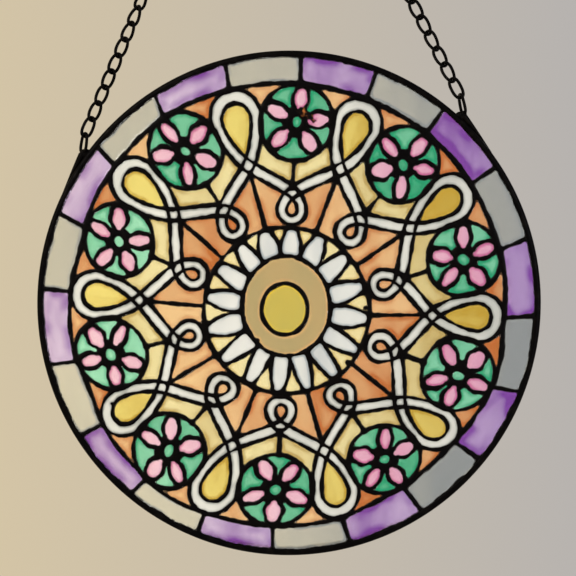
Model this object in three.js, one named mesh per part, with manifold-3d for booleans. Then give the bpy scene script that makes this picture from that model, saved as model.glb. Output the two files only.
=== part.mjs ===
// A round glass suncatcher: a clear glass disc in a black metal rim, with a raised black outline
// pattern on its front face, hung by two lengths of twisted chain from one ring.
//
// Millimetres, +Z up. The disc stands in the XZ plane and its front faces -Y. The origin is the point
// where the hook bears: the inner top of the hanging ring.
//
// The outline pattern is laid out flat as x (to the right) and y (up) round the disc's centre.
// Angles run clockwise from straight up, as seen from the front.

import * as THREE from 'three';
import { mergeVertices } from 'three/addons/utils/BufferGeometryUtils.js';
import Module from 'manifold-3d';

const wasm = await Module();
wasm.setup();

// ---- driving dimensions ------------------------------------------------------------------------

const CLEARANCE = 0.3; // between pieces that fit into each other

const RIM_RADIUS = 125; // a ten inch disc
const RIM_LIP = 3; // how far the rim's lips reach in over the glass
const RIM_WALL = 1.4;
const RIM_DEPTH = 5.4; // front to back
const RIM_BEVEL = { across: 2.5, deep: 1.2 }; // of its outer corners
const RIM_SEGMENTS = 40;
const GLASS_THICKNESS = 3;

const LEADING_HEIGHT = 0.9; // how far the outlines stand out from the glass
const LEADING_SEAT = 0.05; // between the outlines' underside and the glass
const LINE = 1.9; // width of one outline

const SECTORS = 10;
const PATTERN_TURN = THREE.MathUtils.degToRad(5.7); // of the first flower, from straight up
const BORDER_RADIUS = 109.5; // of the ring inside the border panes
const FLOWER_RADIUS = 18.3;
const PETALS = 5;
const PETAL_HALF_WIDTH = 2.8;
const PETAL_INNER_END = 5.4;
const PETAL_OUTER_END = 16.1;
const PETAL_NARROWING = 0.75; // of its width, at the outer end
// where the band crosses itself, below each outer loop and above each inner loop: distance from the
// centre, slope of the strands, half the white width
const OUTER_CROSSING = { radius: 73, slope: THREE.MathUtils.degToRad(47), half: 1.6 };
const INNER_CROSSING = { radius: 58, slope: THREE.MathUtils.degToRad(33), half: 1.5 };
const MEDALLION_RADIUS = 41.5;
const MEDALLION_PETALS = 16;
const MEDALLION_PETAL_NARROWING = 0.9; // of its width, halfway out
const TRIANGLE_START = 5.5; // of the cream triangles between them, out from the tan ring's outline
const TRIANGLE_MARGIN = 1.6; // kept at each side for the narrow end of a petal
const TAN_RING = { across: 20.8, up: 23.6, x: 0, y: 2.3 }; // half sizes, and centre in the medallion
const CORE = { across: 10.2, up: 11.5, x: -0.8, y: 0.8 };
// how far the rings are drawn off the disc's centre: the pattern as a whole, and its middle beyond that
const PATTERN_DRIFT = new THREE.Vector2(-1.5, -1.5);
const MIDDLE_DRIFT = new THREE.Vector2(-0.25, -2.55);

const CHAIN_DROP = 296; // from the hanging ring's centre to the disc's centre
const EYE_ANGLES = { left: -50.6, right: 45.4 }; // degrees from straight up
const EYE_RADIUS = 2.4; // centre line of the soldered eye
const EYE_WIRE = 1.5;
const EYE_GAP = 0.1; // between the eye and the rim
const TAIL_ANGLE = { start: -0.8, end: 5.2 }; // degrees of the rim that an eye's tail follows
const TAIL_WIRE = { start: 1.72, end: 0.7 };
const TAIL_GAP = 0.15; // between the tail and the rim
const RING_RADIUS = 7; // centre line of the hanging ring
const RING_WIRE = 2;
const LINK_PITCH = 8.75;
const LINK_WIDTH = 6.5; // outside
const LINK_WIRE = 1.25;
const LINK_NECK = 1.7; // half the chain's width where two links meet
const LINK_HOLE_END = 1.25; // half the width of a link's hole at its ends
const LINK_GAP = 0.12; // between a chain's end links and what they hang from
const CHAIN_TWIST = { start: 0.6, end: 1.9 }; // links from an end over which the chain turns flat
const WIRE_SIDES = 5;

// ---- places worked out from them ---------------------------------------------------------------

const HALF_STEP = Math.PI / SECTORS; // from a flower's axis to the next outer loop's axis
const FLOWER_CENTRE = BORDER_RADIUS - FLOWER_RADIUS;
const LEADING_EDGE = RIM_RADIUS - RIM_LIP - 2 * CLEARANCE; // clear of the flats of the rim
const RING_CENTRE = new THREE.Vector3(0, 0, -(RING_RADIUS - RING_WIRE / 2));
const DISC_CENTRE = new THREE.Vector3(0, 0, RING_CENTRE.z - CHAIN_DROP);

// The band runs from the top of an outer loop, down its left side, over the crossing, and round the
// right side of the inner loop to its bottom. The rest is this stretch turned and mirrored.
// Each entry: sideways from the loop's own axis, out from the centre, half the white width.
const OUTER_LOOP = [
  [0, BORDER_RADIUS - 3.2, 2.1],
  [-6.7, 104.2, 1.9],
  [-9.4, 97.5, 1.6],
  [-7.7, 88.5, 1.5],
  [-3.7, 79, 1.5],
  [0, OUTER_CROSSING.radius, OUTER_CROSSING.half],
];
const INNER_LOOP = [
  [0, INNER_CROSSING.radius, INNER_CROSSING.half],
  [3.9, 53.6, 1.3],
  [5.1, 49.4, 1.3],
  [3.6, 46.1, 1.1],
  [0, MEDALLION_RADIUS + 3.4, 0.9],
];

// ---- solids ------------------------------------------------------------------------------------

// The same faces with their shared corners merged, so that they close.
function closed(geometry) {
  geometry.deleteAttribute('normal');
  geometry.deleteAttribute('uv');
  return mergeVertices(geometry, 1e-4);
}

function toSolid(geometry) {
  const merged = closed(geometry);
  return new wasm.Manifold(new wasm.Mesh({
    numProp: 3,
    vertProperties: new Float32Array(merged.attributes.position.array),
    triVerts: new Uint32Array(merged.index.array),
  }));
}

function toGeometry(solid) {
  const mesh = solid.getMesh();
  const geometry = new THREE.BufferGeometry();
  geometry.setAttribute('position', new THREE.BufferAttribute(mesh.vertProperties, 3));
  geometry.setIndex(new THREE.BufferAttribute(mesh.triVerts, 1));
  geometry.computeVertexNormals();
  return geometry;
}

// ---- drawing in the disc's plane ---------------------------------------------------------------

// The point that lies x sideways from, and y out along, the axis at the given angle.
function onAxis(angle, x, y) {
  const sine = Math.sin(angle);
  const cosine = Math.cos(angle);
  return new THREE.Vector2(x * cosine + y * sine, y * cosine - x * sine);
}

const mirrored = (point) => new THREE.Vector2(-point.x, point.y);

function polygon(sides, radius, angle = 0) {
  return Array.from({ length: sides }, (_, i) => onAxis(angle + (2 * Math.PI * i) / sides, 0, radius));
}

function ellipse(sides, form, grow = 0) {
  return polygon(sides, 1).map(
    (point) => new THREE.Vector2(
      form.x + point.x * (form.across + grow),
      form.y + point.y * (form.up + grow),
    ),
  );
}

// Where the line between two points crosses a circle that one of them is inside.
function onCircle(from, to, radius, centre = new THREE.Vector2()) {
  let [near, far] = [from, to];
  for (let i = 0; i < 24; i += 1) {
    const middle = near.clone().lerp(far, 0.5);
    const sameSide = (middle.distanceTo(centre) < radius) === (near.distanceTo(centre) < radius);
    [near, far] = sameSide ? [middle, far] : [near, middle];
  }
  return near;
}

// A flat plate with holes in it.
function plate(outline, holes, thickness) {
  const turnedLeft = THREE.ShapeUtils.isClockWise(outline) ? [...outline].reverse() : outline;
  const shape = new THREE.Shape(turnedLeft);
  shape.holes = holes.map((hole) => new THREE.Path(hole));
  return closed(new THREE.ExtrudeGeometry(shape, { depth: thickness, bevelEnabled: false }));
}

// ---- the panes that the outlines leave open ----------------------------------------------------
//
// Each function gives the panes of one repeat of the pattern, as polygons in a frame whose y runs out
// along the flower's axis. The next outer loop's axis is half a step to the left.

const fromLoopAxis = (point) => onAxis(-HALF_STEP, point.x, point.y);

// The band's centre line at its key points, with its left-hand normal and half its white width.
function followBand(keys, before, beyond) {
  const points = [before, ...keys, beyond].map((key) => new THREE.Vector3(...key));
  const curve = new THREE.CatmullRomCurve3(points);
  return keys.map(([x, y, half], i) => {
    const tangent = curve.getTangent((i + 1) / (points.length - 1));
    return { point: new THREE.Vector2(x, y), normal: new THREE.Vector2(-tangent.y, tangent.x), half };
  });
}

function offset({ point, normal, half }, side, extra = 0) {
  return point.clone().addScaledVector(normal.clone().normalize(), side * (half + extra));
}

// Where the edges of two mirrored strands cross. `a` and `b` are how far each edge is from the centre
// line of its own strand: a on the strand that runs down to the right, b on the other.
function crossingCorner(crossing, a, b) {
  return new THREE.Vector2(
    (a - b) / (2 * Math.sin(crossing.slope)),
    crossing.radius + (a + b) / (2 * Math.cos(crossing.slope)),
  );
}

// The edge of a spoke that meets the band's outline above (side 1) or below (side -1) a crossing.
function spokeCorner(crossing, side, x) {
  const reach = crossing.half + LINE + Math.abs(x) * Math.sin(crossing.slope);
  return new THREE.Vector2(x, crossing.radius + (side * reach) / Math.cos(crossing.slope));
}

const innerStart = mirrored(fromLoopAxis(new THREE.Vector2(0, INNER_CROSSING.radius)));
const outerStart = mirrored(fromLoopAxis(new THREE.Vector2(0, OUTER_CROSSING.radius)));
const outerLoop = followBand(
  OUTER_LOOP,
  [-OUTER_LOOP[1][0], OUTER_LOOP[1][1], OUTER_LOOP[1][2]],
  [innerStart.x, innerStart.y, INNER_CROSSING.half],
);
const innerLoop = followBand(
  INNER_LOOP,
  [-outerStart.x, outerStart.y, OUTER_CROSSING.half],
  [-INNER_LOOP.at(-2)[0], INNER_LOOP.at(-2)[1], INNER_LOOP.at(-2)[2]],
);

// The short inner edge of a loop has fewer corners than its outer edge.
const sparse = (stations) => stations.filter((_, i) => i !== stations.length - 2);

// The pane round a loop: the white band, from one side of the crossing to the other.
function loopBand(stations, crossing, side) {
  const { half } = crossing;
  const end = half + LINE;
  const outside = stations.map((station) => offset(station, -side));
  const inside = sparse(stations).map((station) => offset(station, side));
  const ends = [
    crossingCorner(crossing, -side * half, side * end),
    crossingCorner(crossing, side * half, side * end),
  ];
  const there = [ends[0], ...outside];
  const back = [...inside.reverse(), ends[1]];
  const flipped = (points) => points.map(mirrored).reverse();
  return [...there, ...flipped(there).slice(1), ...flipped(back), ...back.slice(1)];
}

// The drop inside a loop.
function loopDrop(stations, crossing, side) {
  const end = side * (crossing.half + LINE);
  const wall = sparse(stations).map((station) => offset(station, side, LINE));
  return [crossingCorner(crossing, end, end), ...wall, ...wall.slice(0, -1).map(mirrored).reverse()];
}

function bandPanes() {
  const { half: outerHalf } = OUTER_CROSSING;
  const { half: innerHalf } = INNER_CROSSING;
  const outerTop = outerLoop.slice(0, -2).reverse(); // up one side, ending at the top
  const innerBottom = innerLoop.slice(2);
  const straight = [
    fromLoopAxis(crossingCorner(OUTER_CROSSING, -outerHalf, -outerHalf - LINE)),
    fromLoopAxis(crossingCorner(OUTER_CROSSING, outerHalf, -outerHalf - LINE)),
    crossingCorner(INNER_CROSSING, innerHalf, innerHalf + LINE),
    crossingCorner(INNER_CROSSING, -innerHalf, innerHalf + LINE),
  ];
  return [
    loopBand(outerTop, OUTER_CROSSING, 1).map(fromLoopAxis),
    loopDrop(outerTop, OUTER_CROSSING, 1).map(fromLoopAxis),
    loopBand(innerBottom, INNER_CROSSING, -1),
    loopDrop(innerBottom, INNER_CROSSING, -1),
    straight,
    straight.map(mirrored),
  ];
}

// The cream and orange panes between the band, the roundel, the border and the medallion, left half.
function groundPanes() {
  const centre = new THREE.Vector2(0, FLOWER_CENTRE);
  const roundel = FLOWER_RADIUS + LINE / 2;
  const border = BORDER_RADIUS - LINE / 2;
  const hub = MEDALLION_RADIUS + LINE / 2;
  const loopSide = outerLoop.map((station) => fromLoopAxis(mirrored(offset(station, -1, LINE))));
  const smallLoopSide = innerLoop.map((station) => mirrored(offset(station, 1, LINE)));
  // corners that lie on the roundel, by their angle round its centre
  const onRoundel = (degrees) => (
    onAxis(THREE.MathUtils.degToRad(degrees), 0, roundel).add(centre)
  );
  const cream = [
    spokeCorner(INNER_CROSSING, 1, -LINE / 2),
    onRoundel(183),
    onRoundel(215),
    onCircle(loopSide[3], loopSide[4], roundel, centre),
    loopSide[4],
    fromLoopAxis(crossingCorner(
      OUTER_CROSSING, OUTER_CROSSING.half + LINE, -OUTER_CROSSING.half - LINE,
    )),
  ];
  const outerOrange = [
    onCircle(onRoundel(-30), onRoundel(0), border),
    onCircle(loopSide[1], loopSide[0], border),
    loopSide[1],
    onCircle(loopSide[2], loopSide[1], roundel, centre),
    onRoundel(-52),
  ];
  const hubTip = onCircle(smallLoopSide[3], smallLoopSide[4], hub);
  const spokeFoot = fromLoopAxis(new THREE.Vector2(LINE / 2, hub));
  const innerOrange = [
    fromLoopAxis(spokeCorner(OUTER_CROSSING, -1, LINE / 2)),
    crossingCorner(INNER_CROSSING, -INNER_CROSSING.half - LINE, INNER_CROSSING.half + LINE),
    smallLoopSide[2],
    smallLoopSide[3],
    hubTip,
    hubTip.clone().add(spokeFoot).setLength(hub),
    spokeFoot,
  ];
  return [cream, outerOrange, innerOrange].flatMap((pane) => [pane, pane.map(mirrored)]);
}

// One flower roundel: five petals and five wedges between them.
function flowerPanes(sector) {
  const turn = THREE.MathUtils.degToRad(8) * Math.sin(2.4 * sector + 0.7); // drawn by hand
  const around = (angle, x, y) => (
    onAxis(turn + angle, x, y).add(new THREE.Vector2(0, FLOWER_CENTRE))
  );
  const inside = FLOWER_RADIUS - LINE / 2;
  const step = (2 * Math.PI) / PETALS;
  const wedgeTip = (PETAL_HALF_WIDTH + LINE) / Math.sin(step / 2);
  const wedgeCorner = THREE.MathUtils.degToRad(22.5);
  const shoulder = PETAL_INNER_END + PETAL_HALF_WIDTH;
  const outerHalf = PETAL_HALF_WIDTH * PETAL_NARROWING;
  const panes = [];
  for (let i = 0; i < PETALS; i += 1) {
    const middle = step * i;
    const between = middle + step / 2;
    panes.push([
      around(middle, 0, PETAL_INNER_END),
      around(middle, PETAL_HALF_WIDTH, shoulder),
      around(middle, outerHalf, PETAL_OUTER_END),
      around(middle, -outerHalf, PETAL_OUTER_END),
      around(middle, -PETAL_HALF_WIDTH, shoulder),
    ]);
    panes.push([
      around(between, 0, wedgeTip),
      around(between + wedgeCorner, 0, inside),
      around(between, 0, inside),
      around(between - wedgeCorner, 0, inside),
    ]);
  }
  return panes;
}

// How far the tan ring's outline is from the medallion's centre, in one direction.
function tanRingReach(angle) {
  const across = TAN_RING.across + LINE;
  const up = TAN_RING.up + LINE;
  const radius = (across * up) / Math.hypot(up * Math.sin(angle), across * Math.cos(angle));
  return radius + TAN_RING.y * Math.cos(angle);
}

// The direction of a place in the ring of medallion petals, where petal i is at place i. They were
// spaced by eye, so they drift ahead and fall behind in two slow waves round the ring.
function medallionAxis(place) {
  const step = (2 * Math.PI) / MEDALLION_PETALS;
  const even = step * place;
  return even + step * (0.4 + 0.1 * Math.sin(even - 2.7) + 0.1 * Math.sin(2 * even - 2.4));
}

// The medallion: white petals and cream triangles round the tan ring.
function medallionPanes() {
  const inside = MEDALLION_RADIUS - LINE / 2;
  const panes = [ellipse(20, TAN_RING)];
  for (let i = 0; i < MEDALLION_PETALS; i += 1) {
    const middle = medallionAxis(i);
    const between = medallionAxis(i + 0.5);
    const halfStep = (medallionAxis(i + 0.5) - medallionAxis(i - 0.5)) / 2;
    const start = tanRingReach(middle);
    const foot = start * Math.sin(halfStep) - LINE / 2;
    const waist = foot * MEDALLION_PETAL_NARROWING;
    panes.push([
      onAxis(middle, -foot, start), onAxis(middle, foot, start),
      onAxis(middle, waist, (start + inside) / 2), onAxis(middle, 0, inside - 0.5),
      onAxis(middle, -waist, (start + inside) / 2),
    ]);
    const nextStep = medallionAxis(i + 1) - middle;
    const corner = nextStep / 2 - (TRIANGLE_MARGIN + LINE) / inside;
    panes.push([
      onAxis(between, 0, tanRingReach(between) + TRIANGLE_START),
      onAxis(between + corner, 0, inside),
      onAxis(between - corner, 0, inside),
    ]);
  }
  return panes;
}

// The outside of the network: the border ring, with the bars between the border panes as teeth.
function borderOutline() {
  const bars = 2 * SECTORS;
  const outside = BORDER_RADIUS + LINE / 2;
  return Array.from({ length: bars }, (_, i) => {
    const axis = PATTERN_TURN + HALF_STEP * i;
    return [
      onAxis(axis, -LINE / 2, outside), onAxis(axis, -LINE / 2, LEADING_EDGE),
      onAxis(axis, LINE / 2, LEADING_EDGE), onAxis(axis, LINE / 2, outside),
      onAxis(axis + HALF_STEP / 2, 0, outside),
    ];
  }).flat();
}

// The pattern was drawn by hand, so it isn't true: its rings sit a little off the disc's centre, more
// so towards the middle, and its lines sway. This moves a point of the true pattern to its drawn place.
function drawnByHand(point) {
  const radius = point.length();
  const angle = Math.atan2(point.x, point.y);
  const border = THREE.MathUtils.clamp((LEADING_EDGE - radius) / (LEADING_EDGE - BORDER_RADIUS), 0, 1);
  const middle = THREE.MathUtils.clamp(
    (BORDER_RADIUS - radius) / (BORDER_RADIUS - MEDALLION_RADIUS), 0, 1,
  );
  const sway = border * Math.min(radius / BORDER_RADIUS, 1);
  const out = sway * (0.5 * Math.sin(3 * angle + 1.1) + 0.4 * Math.sin(7 * angle + radius / 13));
  const along = sway * (0.6 * Math.sin(4 * angle + 0.6 + radius / 17) + 0.4 * Math.sin(9 * angle + 2));
  return onAxis(angle, along, radius + out)
    .addScaledVector(PATTERN_DRIFT, border)
    .addScaledVector(MIDDLE_DRIFT, middle);
}

function makeLeading() {
  const panes = medallionPanes();
  for (let sector = 0; sector < SECTORS; sector += 1) {
    const axis = PATTERN_TURN + 2 * HALF_STEP * sector;
    const repeat = [...bandPanes(), ...groundPanes(), ...flowerPanes(sector)];
    panes.push(...repeat.map((pane) => pane.map((point) => onAxis(axis, point.x, point.y))));
  }
  return plate(borderOutline(), panes, LEADING_HEIGHT);
}

// Lays a flat outline geometry on the front face of the glass, as it was drawn.
function layOnGlass(geometry) {
  const position = geometry.attributes.position;
  for (let i = 0; i < position.count; i += 1) {
    const point = drawnByHand(new THREE.Vector2(position.getX(i), position.getY(i)));
    position.setXY(i, point.x, point.y);
  }
  geometry.rotateX(Math.PI / 2);
  geometry.translate(0, -GLASS_THICKNESS / 2 - LEADING_SEAT, 0);
  geometry.computeVertexNormals();
  return geometry;
}

function makeCentreRing() {
  return plate(ellipse(16, CORE, LINE), [ellipse(16, CORE)], LEADING_HEIGHT);
}

// ---- glass and rim -----------------------------------------------------------------------------

function makeGlass() {
  const radius = RIM_RADIUS - RIM_WALL - CLEARANCE;
  return new THREE.CylinderGeometry(radius, radius, GLASS_THICKNESS, RIM_SEGMENTS);
}

// A U-section, open towards the glass, with its outer corners bevelled.
function makeRim() {
  const half = RIM_DEPTH / 2;
  const groove = GLASS_THICKNESS / 2 + CLEARANCE;
  const lip = RIM_RADIUS - RIM_LIP;
  const floor = RIM_RADIUS - RIM_WALL;
  const shoulder = RIM_RADIUS - RIM_BEVEL.across;
  const side = half - RIM_BEVEL.deep;
  const profile = [
    [lip, -groove], [shoulder, -half], [RIM_RADIUS, -side], [RIM_RADIUS, side],
    [shoulder, half], [lip, groove], [floor, groove], [floor, -groove], [lip, -groove],
  ];
  const points = profile.map(([radius, y]) => new THREE.Vector2(radius, y));
  return new THREE.LatheGeometry(points, RIM_SEGMENTS);
}

// ---- wire --------------------------------------------------------------------------------------

const DEPTH = new THREE.Vector3(0, 1, 0);

// A wire along a centre line that lies in the plane of the disc, joined end to end if it is a ring.
function wire(line, radii, ring) {
  const sides = WIRE_SIDES;
  const count = line.length;
  const positions = [];
  const index = [];
  line.forEach((point, i) => {
    const next = line[ring ? (i + 1) % count : Math.min(i + 1, count - 1)];
    const previous = line[ring ? (i + count - 1) % count : Math.max(i - 1, 0)];
    const tangent = next.clone().sub(previous).normalize();
    const other = tangent.clone().cross(DEPTH);
    for (let j = 0; j < sides; j += 1) {
      const angle = (2 * Math.PI * (j + 0.5)) / sides;
      const corner = point.clone()
        .addScaledVector(DEPTH, radii[i] * Math.cos(angle))
        .addScaledVector(other, radii[i] * Math.sin(angle));
      positions.push(corner.x, corner.y, corner.z);
    }
  });
  for (let i = 0; i < (ring ? count : count - 1); i += 1) {
    for (let j = 0; j < sides; j += 1) {
      const a = i * sides + j;
      const b = i * sides + ((j + 1) % sides);
      const c = ((i + 1) % count) * sides + j;
      const d = ((i + 1) % count) * sides + ((j + 1) % sides);
      index.push(a, b, c, b, d, c);
    }
  }
  if (!ring) {
    for (let j = 1; j < sides - 1; j += 1) {
      const last = (count - 1) * sides;
      index.push(0, j + 1, j, last, last + j, last + j + 1);
    }
  }
  const geometry = new THREE.BufferGeometry();
  geometry.setAttribute('position', new THREE.Float32BufferAttribute(positions, 3));
  geometry.setIndex(index);
  geometry.computeVertexNormals();
  return geometry;
}

// A round loop of wire in the plane of the disc.
function hoop(centre, radius, thickness, steps) {
  const line = Array.from({ length: steps }, (_, i) => {
    const angle = (2 * Math.PI * i) / steps;
    return new THREE.Vector3(radius * Math.sin(angle), 0, radius * Math.cos(angle)).add(centre);
  });
  return wire(line, line.map(() => thickness / 2), true);
}

const outFromDisc = (degrees, radius) => {
  const point = onAxis(THREE.MathUtils.degToRad(degrees), 0, radius);
  return new THREE.Vector3(point.x, 0, point.y).add(DISC_CENTRE);
};

function eyeCentre(side) {
  return outFromDisc(EYE_ANGLES[side], RIM_RADIUS + EYE_GAP + EYE_WIRE / 2 + EYE_RADIUS);
}

// The soldered eye with its tail, which lies along the rim and points down.
function makeHangingLoop(side) {
  const eye = toSolid(hoop(eyeCentre(side), EYE_RADIUS, EYE_WIRE, 10));
  const down = Math.sign(EYE_ANGLES[side]);
  const steps = 4;
  const tail = Array.from({ length: steps + 1 }, (_, i) => {
    const thickness = THREE.MathUtils.lerp(TAIL_WIRE.start, TAIL_WIRE.end, i / steps);
    const along = THREE.MathUtils.lerp(TAIL_ANGLE.start, TAIL_ANGLE.end, i / steps);
    const point = outFromDisc(
      EYE_ANGLES[side] + down * along, RIM_RADIUS + TAIL_GAP + thickness / 2,
    );
    return { point, thickness };
  });
  const rod = wire(tail.map((t) => t.point), tail.map((t) => t.thickness / 2), false);
  return toGeometry(eye.add(toSolid(rod)));
}

// One chain from the hanging ring down to an eye: twisted links that lie flat, fused where they touch.
// It is laid out flat, x across and y along, and then turned round its own axis. The link at each end
// stands edge-on, to pass through the ring and the eye.
function makeChain(side) {
  const eye = eyeCentre(side);
  const start = RING_RADIUS - RING_WIRE / 2 - LINK_WIRE - LINK_GAP;
  const end = eye.distanceTo(RING_CENTRE) - EYE_RADIUS + EYE_WIRE / 2 + LINK_WIRE + LINK_GAP;
  const wires = 2 * LINK_WIRE; // the two link ends that lie against each other
  const count = Math.round((end - start - wires) / LINK_PITCH);
  const pitch = (end - start - wires) / count;
  const holeMiddle = LINK_WIDTH / 2 - LINK_WIRE;
  const outline = [[LINK_NECK, start]];
  const holes = [];
  for (let i = 0; i < count; i += 1) {
    const from = start + LINK_WIRE + pitch * i;
    const to = from + pitch;
    const middle = (from + to) / 2;
    const top = i === 0 ? from : from + LINK_WIRE;
    const bottom = i === count - 1 ? to : to - LINK_WIRE;
    outline.push([LINK_WIDTH / 2, middle], [LINK_NECK, i === count - 1 ? end : to]);
    holes.push([
      [-LINK_HOLE_END, top], [LINK_HOLE_END, top], [holeMiddle, middle],
      [LINK_HOLE_END, bottom], [-LINK_HOLE_END, bottom], [-holeMiddle, middle],
    ]);
  }
  const toVectors = (points) => points.map(([x, y]) => new THREE.Vector2(x, y));
  const rightSide = toVectors(outline);
  const geometry = plate(
    [...rightSide, ...rightSide.map(mirrored).reverse()], holes.map(toVectors), LINK_WIRE,
  );

  const axis = eye.clone().sub(RING_CENTRE).normalize();
  const flat = axis.clone().cross(DEPTH).normalize();
  const position = geometry.attributes.position;
  for (let i = 0; i < position.count; i += 1) {
    const along = position.getY(i);
    const fromEnd = Math.min(along - start, end - along) / pitch;
    const flatness = THREE.MathUtils.smoothstep(fromEnd, CHAIN_TWIST.start, CHAIN_TWIST.end);
    const turn = (Math.PI / 2) * (1 - flatness);
    const across = flat.clone().applyAxisAngle(axis, turn);
    const through = across.clone().cross(axis);
    const point = RING_CENTRE.clone().addScaledVector(axis, along)
      .addScaledVector(across, position.getX(i))
      .addScaledVector(through, position.getZ(i) - LINK_WIRE / 2);
    position.setXYZ(i, point.x, point.y, point.z);
  }
  geometry.computeVertexNormals();
  return geometry;
}

// ---- materials and assembly --------------------------------------------------------------------

const clearGlass = new THREE.MeshStandardMaterial({
  color: 0xdfe8e6, roughness: 0.05, metalness: 0, transparent: true, opacity: 0.35,
});
const blackRelief = new THREE.MeshStandardMaterial({ color: 0x0b0908, roughness: 0.35, metalness: 0 });
const blackMetal = new THREE.MeshStandardMaterial({ color: 0x15110f, roughness: 0.4, metalness: 0.7 });
const blackWire = new THREE.MeshStandardMaterial({ color: 0x100e0d, roughness: 0.45, metalness: 0.8 });

const suncatcher = new THREE.Group();
const disc = new THREE.Group();
disc.position.copy(DISC_CENTRE);
suncatcher.add(disc);

function addPiece(group, name, geometry, material) {
  const mesh = new THREE.Mesh(geometry, material);
  mesh.name = name;
  group.add(mesh);
}

addPiece(disc, 'glass_disc', makeGlass(), clearGlass);
addPiece(disc, 'rim', makeRim(), blackMetal);
addPiece(disc, 'leading', layOnGlass(makeLeading()), blackRelief);
addPiece(disc, 'centre_ring', layOnGlass(makeCentreRing()), blackRelief);
addPiece(suncatcher, 'hanging_ring', hoop(RING_CENTRE, RING_RADIUS, RING_WIRE, 18), blackWire);
for (const side of ['left', 'right']) {
  addPiece(suncatcher, `hanging_loop_${side}`, makeHangingLoop(side), blackWire);
  addPiece(suncatcher, `chain_${side}`, makeChain(side), blackWire);
}

export default suncatcher;
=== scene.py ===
import math

import bpy
import numpy as np
from mathutils import Matrix, Vector


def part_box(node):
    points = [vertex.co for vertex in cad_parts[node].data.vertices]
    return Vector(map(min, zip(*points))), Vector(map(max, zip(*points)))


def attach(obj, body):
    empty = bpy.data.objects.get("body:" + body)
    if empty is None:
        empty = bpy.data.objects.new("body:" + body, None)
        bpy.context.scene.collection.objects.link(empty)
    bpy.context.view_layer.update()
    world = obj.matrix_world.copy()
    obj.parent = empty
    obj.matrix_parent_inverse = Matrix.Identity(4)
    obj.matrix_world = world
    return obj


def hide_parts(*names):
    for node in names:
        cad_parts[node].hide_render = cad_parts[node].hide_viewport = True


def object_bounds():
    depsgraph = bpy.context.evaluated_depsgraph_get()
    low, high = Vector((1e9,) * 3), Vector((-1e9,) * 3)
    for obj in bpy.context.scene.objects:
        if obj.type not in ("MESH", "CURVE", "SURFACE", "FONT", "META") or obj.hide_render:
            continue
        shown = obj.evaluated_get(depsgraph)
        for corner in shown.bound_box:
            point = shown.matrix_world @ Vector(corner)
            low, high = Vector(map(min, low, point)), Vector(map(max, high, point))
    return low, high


# A round glass suncatcher: clear glass in a black rim, with black outlines and transparent colours
# on its front face, hung by two chains from one ring.
#
# The CAD frame is in metres. The pattern is laid out in millimetres round the disc's centre, as
# complex numbers: x to the right and y up, as seen from the front. Angles run clockwise from up.

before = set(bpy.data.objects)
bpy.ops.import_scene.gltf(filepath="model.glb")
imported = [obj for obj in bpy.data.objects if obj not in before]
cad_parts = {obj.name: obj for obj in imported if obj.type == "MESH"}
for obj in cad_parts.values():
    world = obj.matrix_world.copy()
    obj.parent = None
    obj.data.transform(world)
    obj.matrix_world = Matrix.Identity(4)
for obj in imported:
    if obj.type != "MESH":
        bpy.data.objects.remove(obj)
cad_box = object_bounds()

MM = 0.001

# ---- sizes: the frame gives the places, and the pattern's own sizes are named here ---------------


def box_mm(node):
    """A node's lowest and highest corners, in millimetres."""
    low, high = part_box(node)
    return np.array(low) / MM, np.array(high) / MM


rim_low, rim_high = box_mm("rim")
glass_low, glass_high = box_mm("glass_disc")
leading_low, leading_high = box_mm("leading")
ring_low, ring_high = box_mm("hanging_ring")

DISC_CENTRE = (rim_low + rim_high) / 2
RIM_RADIUS = (rim_high[0] - rim_low[0]) / 2
RIM_HALF_DEPTH = (rim_high[1] - rim_low[1]) / 2
RIM_LIP = 3.0  # how far its lips reach in over the glass
RIM_WALL = 1.4
RIM_CLEARANCE = 0.3  # between its groove and the glass
GLASS_HALF = (glass_high[1] - glass_low[1]) / 2
LEADING_BACK = -leading_high[1]  # distances forward of the disc's middle plane
LEADING_HEIGHT = leading_high[1] - leading_low[1]
LEADING_EDGE = RIM_RADIUS - RIM_LIP + 0.15  # the outlines run just into the rim's lip
LINE = 2.35  # width of one outline
BORDER_EXTRA = 0.1  # more half width for the border's ring
EDGE_LINE = 0.6  # width of the outline that runs beside the rim

SECTORS = 10
HALF_STEP = math.pi / SECTORS  # from a flower's axis to the next loop's axis
PATTERN_TURN = math.radians(5.7)
BORDER_RADIUS = 109.5
TOUCH_RADIUS = 97.5  # where the loops touch the flower roundels
FLOWER_RADIUS = 18.3
FLOWER_CENTRE = BORDER_RADIUS - FLOWER_RADIUS
PETALS = 5
PETAL_HALF_WIDTH = 3.0
PETAL_INNER_END = 5.4
PETAL_OUTER_END = 16.1
FLOWER_MIDDLE = {"across": 2.3, "up": 2.9, "uneven": 0.3}  # half sizes, and how far they vary
FLOWER_HUB = 7.5  # how far out the black between the petals reaches
FLOWER_SWING = math.radians(8)  # how far flowers are turned, one way or the other
OUTER_CROSSING = 73.0  # of the band with itself, below each outer loop
INNER_CROSSING = 58.0  # and above each inner loop
FLOWER_SPOKE_START = 60  # from here, out from the centre, a spoke runs to each flower
LOOP_SPOKE_END = 70  # and to here one runs from the medallion towards each loop
MEDALLION_RADIUS = 41.1
MEDALLION_PETALS = 16
MEDALLION_PETAL_START = 24.5  # distance from the medallion's centre
TAN_RING = {"across": 20.8, "up": 23.6, "centre": 2.3j}
CORE = {"across": 10.2, "up": 11.5, "centre": -0.8 + 0.8j}
PATTERN_DRIFT = -0.7 - 1.75j  # how far the rings are drawn off the disc's centre
MIDDLE_DRIFT = 0.1 - 2.55j  # and the middle beyond that
# where the pattern's border is drawn further in: clockwise degrees from up, how far, and how wide in
# degrees
DENTS = [
    (97, 2.4, 9), (142, 4.2, 20), (158, 1.3, 8), (214, -2, 10), (250, 4.2, 11), (272, 1.5, 11),
    (289, 2.8, 9), (330, -3, 16),
]

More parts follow.
